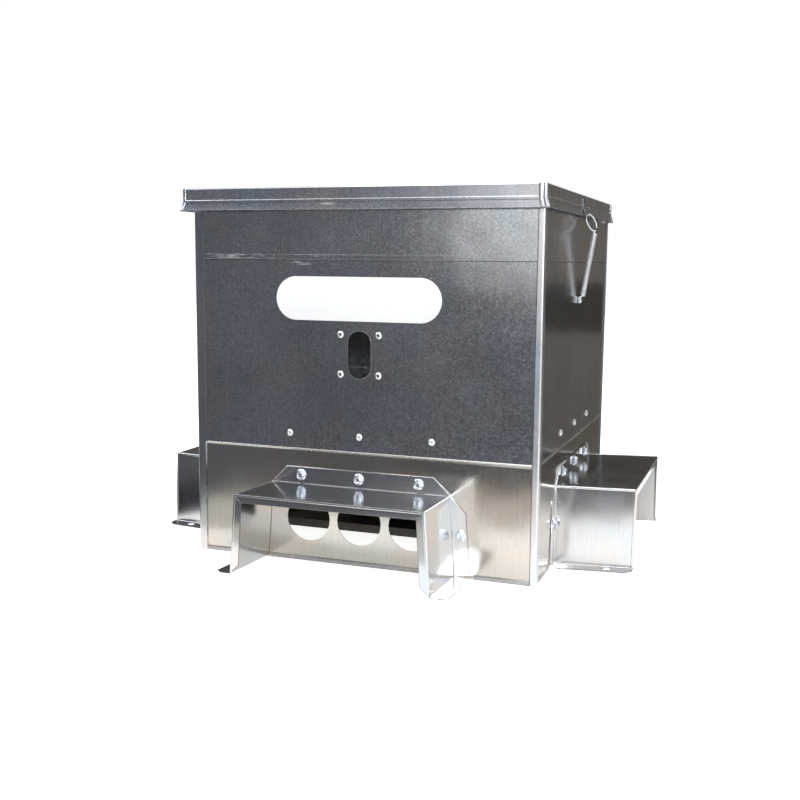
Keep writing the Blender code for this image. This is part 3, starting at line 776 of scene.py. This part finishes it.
# The flange's cut edges, rolled over by the shear, and the bends catch the light as thin lines, while
# the other cut edges show bare steel and stay dull.
flange_face = wall_half + 0.0013
hood_front = wall_half + 0.1135
flange_edge = 0.00050
bend_bead = 0.0022
bend_depth = 0.0017
front_bend_depth = 0.0021
cut_edge = 0.00055
roof_half_wall = 0.1336
roof_wall = 0.1130
roof_half_front = 0.1352
roof_front = 0.1168
foot_half_front = 0.1424
flange_width = 0.0235
side_flange_width = 0.0220
foot_rim = 0.1659
lip_half = 0.1238
lip_height = 0.1058


def mirrored(path, hand=-1.0):
    """The path on the other side of the hood's middle, or on this side for a hand of 1."""
    return [Vector(point) * Vector((hand, 1.0, 1.0)) for point in path]


roof_corner = (roof_half_wall, -flange_face, roof_wall)
roof_crest = (roof_half_wall - flange_width, -flange_face, roof_wall + flange_width)
roof_flange = [*mirrored([roof_corner, roof_crest]), roof_crest, roof_corner]
side_crest = (roof_half_wall + side_flange_width, -flange_face, roof_wall - side_flange_width)
side_flange = [roof_corner, side_crest, (0.1627, -flange_face, 0.0054)]
back_bend = (roof_half_wall - bend_depth, -flange_face, roof_wall - bend_depth)
side_bend = (roof_half_front - bend_depth, bend_depth - hood_front, roof_front - bend_depth)
foot_bend = (foot_half_front - bend_depth, bend_depth - hood_front, 0.0080)
foot_edge = [(foot_half_front, -hood_front, 0.0065), (0.1569, -hood_front, 0.0065)]
foot_edge += [(foot_rim, 0.0090 - hood_front, 0.0061), (foot_rim, -flange_face - 0.0110, 0.0023)]
foot_edge.append((0.1417, -flange_face, 0.0019))
front_face = 0.0005 - hood_front
return_edge = [(0.1348, 0.1164), (0.1240, 0.1050), (0.1296, 0.0190), (0.1418, 0.0074)]
return_edge = [(along, front_face, height) for along, height in return_edge]
lip_edge = [(-lip_half, front_face, lip_height), (lip_half, front_face, lip_height)]
front_bend = (
    roof_half_front - front_bend_depth,
    front_bend_depth - hood_front,
    roof_front - front_bend_depth,
)
wires = {"flange_edges": [roof_flange], "cut_edges": [lip_edge]}
wires["bends"] = [[front_bend, *mirrored([front_bend])]]
for path, group in (
    (side_flange, "flange_edges"),
    ([back_bend, side_bend], "bends"),
    ([side_bend, foot_bend], "bends"),
    (foot_edge, "cut_edges"),
    (return_edge, "cut_edges"),
):
    wires[group] += [mirrored(path, hand) for hand in (1.0, -1.0)]
# Sheared steel: the zinc stops at the cut, so that the edge is a dull dark grey.
bare_steel = galvanised("bare_sheared_steel_edge", "#8C8D90", "#606266", gloss=0.38)
looks = {
    "flange_edges": (flange_edge, hood_zinc),
    "bends": (bend_bead, hood_zinc),
    "cut_edges": (cut_edge, bare_steel),
}
for group, paths in wires.items():
    paths = [[turn(side) @ Vector(point) for point in path] for side in SIDES for path in paths]
    radius, finish = looks[group]
    made = wires_along("hood_" + group, paths, radius, 12, finish)
    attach(made, "feeder")

# Sight window: an obround slot with a deburred rim, and behind it a square pane of clear acrylic.
slot_half_width = 0.0170
slot_half_height = 0.0330
slot_centre = 0.2995
rim_wire = 0.00040


def obround(half_width, half_height, centre, steps):
    """The points of an upright or a lying obround on the front wall, as (along, height)."""
    radius = min(half_width, half_height)
    points = []
    for step in range(steps):
        angle = math.tau * (step + 0.5) / steps
        across = math.copysign(half_width - radius, math.cos(angle)) + radius * math.cos(angle)
        rise = math.copysign(half_height - radius, math.sin(angle)) + radius * math.sin(angle)
        points.append((centre[0] + across, centre[1] + rise))
    return points


rim_grow = 0.5 * rim_wire
slot_points = obround(slot_half_width + rim_grow, slot_half_height + rim_grow, (0.0, slot_centre), 64)
rim_path = [(along, -wall_half - 0.0001, height) for along, height in [*slot_points, slot_points[0]]]
slot_rim = wires_along("slot_rim", [rim_path], rim_wire, 10, edge_zinc)
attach(slot_rim, "feeder")

# Clear cast acrylic: a polished pane. Feed dust clings to its lower part, up to a faint line.
dust_foot = 0.2860
dust_head = 0.3120
dust_line = 0.2830
line_reach = 0.0016
acrylic, tree, spot, shader = new_material("clear_cast_acrylic")
dust = noise(tree, spot, 130.0, 5.0)
rise = add_node(tree, "ShaderNodeSeparateXYZ", {0: spot}).outputs["Z"]
low = mapped(tree, rise, dust_foot, dust_head, 0.20, 0.0)
settled = calc(tree, "MULTIPLY_ADD", calc(tree, "COMPARE", rise, dust_line, line_reach), 0.22, low)
settled = calc(tree, "MULTIPLY", settled, mapped(tree, dust, 0.38, 0.66, 0.25, 1.0))
tree.links.new(calc(tree, "SUBTRACT", 1.0, settled), shader["Transmission Weight"])
tree.links.new(mapped(tree, dust, 0.35, 0.75, 0.02, 0.06), shader["Roughness"])
tree.links.new(mixed(tree, dust, colour("#777B7F"), colour("#6C7074")), shader["Base Color"])
shader["IOR"].default_value = 1.49
refinish("sight_window", acrylic)

# Label: a blank obround of white vinyl film, stuck on above the window.
label_centre = (-0.0037, 0.3758)
label_half_width = 0.1218
label_half_height = 0.0303
label_film = 0.0004
vinyl, tree, spot, shader = new_material("white_vinyl_film")
ripple = noise(tree, spot, 55.0, 2.0)
tree.links.new(mixed(tree, ripple, colour("#F8F8F9"), colour("#FDFDFD")), shader["Base Color"])
tree.links.new(mapped(tree, ripple, 0.0, 1.0, 0.24, 0.36), shader["Roughness"])
peel = {"Height": ripple, "Strength": 0.4, "Distance": 0.0002}
tree.links.new(add_node(tree, "ShaderNodeBump", peel).outputs[0], shader["Normal"])
shader["IOR"].default_value = 1.5

bm = bmesh.new()
rings = []
for inset, proud in ((0.0, 0.00004), (0.0, 0.7 * label_film), (0.0003, label_film)):
    rim = obround(label_half_width - inset, label_half_height - inset, label_centre, 96)
    rings.append([bm.verts.new((along, -wall_half - proud, height)) for along, height in rim])
skin(bm, rings)
label = lay_out_built("blank_label", bm, vinyl)
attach(label, "feeder")

# Blind rivets: aluminium, with a low dome and the broken pin set in a hollow in its middle. Three hold
# the funnel on each side, and four hold the pane.
rivet_head = 0.0048
rivet_height = 0.0020
rivet_shank = 0.0022
rivet_tail = [(0.0, 0.0042), (0.0018, 0.0041), (0.0030, 0.0030), (0.0032, 0.0012), (0.0028, 0.0003)]
rivet_tail.append((rivet_shank, 0.0002))
rivet_dome = [(0.0002, 0.0002), (0.0, 0.0004), (0.0001, 0.0007), (0.0006, 0.0011), (0.0014, 0.0017)]
rivet_crown = 0.0021
pin_hollow = 0.0017
hollow_floor = [(0.94, 0.35), (0.62, 0.35), (0.50, 0.62), (0.0, 0.70)]
funnel_rivet_pitch = 0.1060
funnel_rivet_height = 0.1850
pane_rivet_x = 0.0281
pane_rivet_z = 0.0276
funnel_grip = 0.0036
pane_grip = 0.0033


def at_wall(along, height):
    """A frame on the front wall: Z points out of the wall and X runs along it."""
    return Matrix.Translation((along, -wall_half, height)) @ Matrix.Rotation(math.radians(90.0), 4, "X")


def round_the_box(name, spots):
    """The same spots on all four walls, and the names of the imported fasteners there."""
    places = [turn(side) @ at_wall(*spot) for side in SIDES for spot in spots]
    return places, [f"{name}_{side}_{number}" for side in SIDES for number in range(1, len(spots) + 1)]


def turned(bm, profile, facets):
    """A turned or a many-sided body on its Z axis, from (radius, height) points. The ends are closed."""
    rings = []
    for radius, height in profile:
        if radius == 0.0:
            rings.append([bm.verts.new((0.0, 0.0, height))])
            continue
        angles = [math.tau * step / facets for step in range(facets)]
        rings.append([bm.verts.new((radius * math.cos(a), radius * math.sin(a), height)) for a in angles])
    for lower, upper in zip(rings, rings[1:]):
        for step in range(facets):
            after = (step + 1) % facets
            corners = ((lower, step), (lower, after), (upper, after), (upper, step))
            around = [ring[place % len(ring)] for ring, place in corners]
            bm.faces.new(list(dict.fromkeys(around)))


def rivet_shape(grip):
    """Tail, shank and head of a set blind rivet, with the wall's face at height 0."""
    profile = [(radius, -grip - past) for radius, past in rivet_tail]
    profile.append((rivet_shank, 0.0001))
    profile += [(rivet_head - inset, height) for inset, height in rivet_dome]
    profile += [(rivet_head - rivet_crown, rivet_height), (pin_hollow + 0.0004, rivet_height)]
    profile.append((pin_hollow, rivet_height - 0.0003))
    profile += [(pin_hollow * wide, rivet_height * high) for wide, high in hollow_floor]
    bm = bmesh.new()
    turned(bm, profile, 24)
    return mesh_of("set_rivet", bm)


def fastener_tree():
    """Geometry Nodes that set one fastener on each point, head outwards, each turned its own way."""
    inputs = {"Places": "Geometry", "Fastener": "Object", "Seed": "Int", "Finish": "Material"}
    made, given = open_tree("set_fasteners", inputs, "Fasteners")
    outward = {"Name": "outward"}
    outward = add_node(made, "GeometryNodeInputNamedAttribute", outward, data_type="FLOAT_VECTOR")
    facing = add_node(made, "FunctionNodeAlignRotationToVector", {"Vector": outward.outputs[0]}, axis="Z")
    angle = {2: 0.0, 3: math.tau, "Seed": given["Seed"]}
    angle = add_node(made, "FunctionNodeRandomValue", angle, data_type="FLOAT").outputs[1]
    spin = {"Axis": (0.0, 0.0, 1.0), "Angle": angle}
    spin = add_node(made, "FunctionNodeAxisAngleToRotation", spin)
    shape = add_node(made, "GeometryNodeObjectInfo", {"Object": given["Fastener"], "As Instance": True})
    placed = {
        "Points": given["Places"],
        "Instance": shape.outputs["Geometry"],
        "Rotation": facing.outputs[0],
    }
    placed = add_node(made, "GeometryNodeInstanceOnPoints", placed)
    twisted = {"Instances": placed.outputs[0], "Rotation": spin.outputs[0], "Local Space": True}
    twisted = add_node(made, "GeometryNodeRotateInstances", twisted)
    return close_tree(made, "Fasteners", twisted.outputs[0], given["Finish"])


set_fasteners = fastener_tree()


def spread_out(name, shape, places, seed, finish):
    """One copy of a shape at each place, head outwards."""
    points = bpy.data.meshes.new(name)
    points.from_pydata([place.translation for place in places], [], [])
    outward = points.attributes.new("outward", "FLOAT_VECTOR", "POINT")
    outward.data.foreach_set("vector", [value for place in places for value in place.to_3x3().col[2]])
    pattern = lay_out("pattern_" + name, shape)
    made = grow(name, points, set_fasteners, {"Fastener": pattern, "Seed": seed, "Finish": finish})
    bpy.data.objects.remove(pattern)
    return made


def fasten(name, shape, places, seed, finish, nodes):
    """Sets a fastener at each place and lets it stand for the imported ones."""
    made = spread_out(name, shape, places, seed, finish)
    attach(made, "feeder")
    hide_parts(*nodes)


def plated(name, light, dark, gloss, grain):
    """A small metal part with a fine satin grain and dull patches where tools and handling touched it."""
    made, tree, spot, shader = new_material(name)
    satin = noise(tree, spot, 1.0 / grain, 3.0)
    tone = mixed(tree, noise(tree, spot, 90.0, 2.0), colour(dark), colour(light))
    tree.links.new(tone, shader["Base Color"])
    dull = mapped(tree, satin, 0.3, 0.7, gloss - 0.05, gloss + 0.1)
    tree.links.new(dull, shader["Roughness"])
    rub = {"Height": satin, "Strength": 0.3, "Distance": 0.00005}
    tree.links.new(add_node(tree, "ShaderNodeBump", rub).outputs[0], shader["Normal"])
    shader["Metallic"].default_value = 1.0
    return made


# Aluminium rivet, as struck: bright, a little satin, and cleaner than the sheet round it.
rivet_metal = plated("bright_aluminium_rivet", "#FAFBFC", "#EEF0F3", 0.42, 0.0009)
funnel_spots = [(step * funnel_rivet_pitch, funnel_rivet_height) for step in (-1, 0, 1)]
funnel_places, funnel_names = round_the_box("funnel_rivet", funnel_spots)
funnel_rivet = rivet_shape(funnel_grip)
fasten("funnel_rivets", funnel_rivet, funnel_places, 3, rivet_metal, funnel_names)
pane_spots = [(step_x, step_z) for step_z in (-1, 1) for step_x in (-1, 1)]
pane_places = [at_wall(x * pane_rivet_x, slot_centre + z * pane_rivet_z) for x, z in pane_spots]
pane_names = [f"window_rivet_{number}" for number in range(1, 5)]
fasten("window_rivets", rivet_shape(pane_grip), pane_places, 5, rivet_metal, pane_names)

# The pane's rivets have steel pins, broken off inside the hollow. Their very dark grey is partly the steel
# and partly painted shade of the hollow.
pin_steel_and_shade = galvanised("broken_steel_pin_painted_shade", "#5A5B60", "#303136", gloss=0.42)
pin_foot = 0.0003
pin_top = rivet_height + 0.0001
pin = [(0.0, pin_foot), (pin_hollow, pin_foot), (pin_hollow, pin_top - 0.0003)]
bm = bmesh.new()
turned(bm, [*pin, (pin_hollow * 0.8, pin_top), (0.0, pin_top)], 16)
rivet_pins = spread_out("rivet_pins", mesh_of("rivet_pin", bm), pane_places, 4, pin_steel_and_shade)
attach(rivet_pins, "feeder")

# Hood screws: zinc-plated hex heads on a pressed washer, five to a hood, each with its nut inside.
screw_seat = 0.0016
inner_face = -0.0013
washer_radius = 0.0080
washer_rim = [(0.0004, 0.0001), (0.0, 0.0003), (0.0001, 0.0006), (0.0012, 0.0014)]
washer_top = 0.0020
hex_radius = 0.0058
shank_radius = 0.0027
shank_past = 0.0065
nut_radius = 0.0060
nut_height = 0.0040
head_foot = 0.0012
head_top = 0.0058
thread_pitch = 0.0005
screw_pitch = 0.0880
screw_height = 0.1258
side_screw_x = 0.1500
side_screw_height = 0.0600


def hex_part(bm, radius, low, high, ease, domed):
    """A hexagon head or nut with its corners turned down, as forged ones are."""
    profile = [(0.0, low), (radius - ease, low), (radius, low + ease), (radius, high - ease)]
    profile += [(radius * 0.88, high - 0.2 * ease), (radius * 0.70, high)]
    if domed:
        profile += [(radius * 0.62, high - 0.0004), (radius * 0.55, high - 0.0005)]
    turned(bm, [*profile, (0.0, profile[-1][1])], 6)


def shank_and_nut(bm, head):
    """A shank from the head to a chamfered end, with its thread as fine rings, and the nut on it."""
    low = inner_face - shank_past
    profile = [(0.0, low), (shank_radius * 0.7, low), (shank_radius * 0.92, low + 0.0004)]
    for ring in range(int((head - low - 0.0008) / thread_pitch)):
        radius = shank_radius if ring % 2 else shank_radius * 0.88
        profile.append((radius, low + 0.0006 + thread_pitch * ring))
    turned(bm, [*profile, (shank_radius, head), (0.0, head)], 12)
    hex_part(bm, nut_radius, inner_face - nut_height, inner_face, 0.0004, False)


bm = bmesh.new()
washer = [(0.0, washer_rim[0][1]), *[(washer_radius - inset, rise) for inset, rise in washer_rim]]
washer += [(hex_radius + 0.0004, 0.0019), (hex_radius - 0.0004, washer_top), (0.0, washer_top)]
turned(bm, [(radius, screw_seat + rise) for radius, rise in washer], 28)
hex_part(bm, hex_radius, screw_seat + head_foot, screw_seat + head_top, 0.0005, True)
shank_and_nut(bm, screw_seat + 0.0010)
screw_shape = mesh_of("hood_screw", bm)

# Bright zinc plating over steel: a hard blue-white shine, brightest on the washer's rim.
screw_metal = plated("blue_white_zinc_plating", "#F4F8FF", "#D8E0EC", 0.20, 0.0007)
hood_spots = [(step * screw_pitch, screw_height) for step in (-1, 0, 1)]
hood_spots += [(step * side_screw_x, side_screw_height) for step in (-1, 1)]
screw_places, screw_names = round_the_box("hood_screw", hood_spots)
fasten("hood_screws", screw_shape, screw_places, 8, screw_metal, screw_names)

# Lid springs: close-coiled from one bright wire, with an eye on a round-headed screw and an oval pull
# loop over the catch's tongue. Each turns on its screw when it is let go.
spring_screw_height = 0.3720
spring_wire = 0.0022
shown_wire = 0.00215
eye_radius = 0.0041
eye_gap = 0.0006
foot_rise = 0.0066
foot_out = 0.0069
coil_radius = 0.0031
neck_length = 0.0035
loop_in = 0.0013
loop_above = 0.0040
loop_length = 0.0262
loop_half_width = 0.0058
loop_tilt = math.radians(26.0)
catch_foot = 0.4905
catch_tongue = 0.0040
catch_bar = {"right": 0.2652, "left": 0.2750}
coil_turns = 41
turn_points = 14


def spring_route(side):
    """The wire's middle line in the wall frame: X along the wall, Y up and Z out, from the screw."""
    eye_out = eye_gap + spring_wire / 2.0
    route = []
    for step in range(28):
        angle = math.radians(10.0 * step)
        route.append(Vector((eye_radius * math.sin(angle), eye_radius * math.cos(angle), eye_out)))
    coil_foot = Vector((0.0, foot_rise, foot_out))
    loop_axis = Vector((0.0, math.cos(loop_tilt), -math.sin(loop_tilt)))
    loop_rise = catch_foot + catch_tongue + loop_above - spring_screw_height
    loop_head = Vector((0.0, loop_rise, catch_bar[side] - wall_half - loop_in))
    neck = loop_head - loop_axis * loop_length
    coil_axis = (neck - coil_foot).normalized()
    coil_length = (neck - coil_foot).length - neck_length
    across = Vector((1.0, 0.0, 0.0))
    outward = across.cross(coil_axis)
    route.append(Vector((-eye_radius - 0.0003, 0.55 * foot_rise, eye_out)))
    route.append(coil_foot - across * coil_radius * 1.1 - coil_axis * 0.0014 - outward * 0.0016)
    for step in range(coil_turns * turn_points + 1):
        angle = math.tau * step / turn_points
        radial = outward * math.sin(angle) - across * math.cos(angle)
        along = coil_length * step / (coil_turns * turn_points)
        route.append(coil_foot + coil_axis * along + radial * coil_radius)
    route.append(neck - across * coil_radius * 0.45 - coil_axis * 0.0012)
    middle = neck + loop_axis * loop_length / 2.0
    loop_side = across.cross(loop_axis)
    for step in range(41):
        angle = math.radians(-180.0 + 8.0 * step)
        reach = loop_axis * (loop_length / 2.0) * math.cos(angle)
        route.append(middle + reach + loop_side * loop_half_width * math.sin(angle))
    return route


# Spring steel wire, drawn and zinc plated: a hard bright line down the middle of the coil.
spring_metal = plated("bright_spring_wire", "#DDE0E4", "#C2C6CC", 0.28, 0.0008)
for side in ("right", "left"):
    stand = turn(side) @ at_wall(0.0, spring_screw_height)
    route = [stand @ point for point in spring_route(side)]
    wire = wires_along("lid_spring_wire_" + side, [route], shown_wire / 2.0, 8, spring_metal)
    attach(wire, "spring_" + side)
    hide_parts("lid_spring_" + side)

# Spring screws: round pan heads with a small recess for the driver, on the same plated shank and nut
# as the hoods' screws. Each goes through the wall and the eye of its spring.
head_seat = 0.0031
head_radius = 0.0046
head_edge = 0.0008
head_dome = 0.0022
head_recess = [(0.0010, 0.0030), (0.0008, 0.0016), (0.0, 0.0014)]
bm = bmesh.new()
head = [(0.0, head_seat), (head_radius - 0.0003, head_seat), (head_radius, head_seat + 0.0004)]
for step in range(7):
    angle = math.radians(14.0 * step)
    rise = head_edge + head_dome * math.sin(angle)
    head.append((head_radius * math.cos(angle) * 0.995, head_seat + rise))
head += [(radius, head_seat + rise) for radius, rise in head_recess]
turned(bm, head, 24)
shank_and_nut(bm, head_seat + 0.0006)
pan_screw = mesh_of("spring_screw", bm)
pan_places = [turn(side) @ at_wall(0.0, spring_screw_height) for side in ("right", "left")]
pan_names = ["spring_screw_right", "spring_screw_left"]
fasten("spring_screws", pan_screw, pan_places, 2, screw_metal, pan_names)
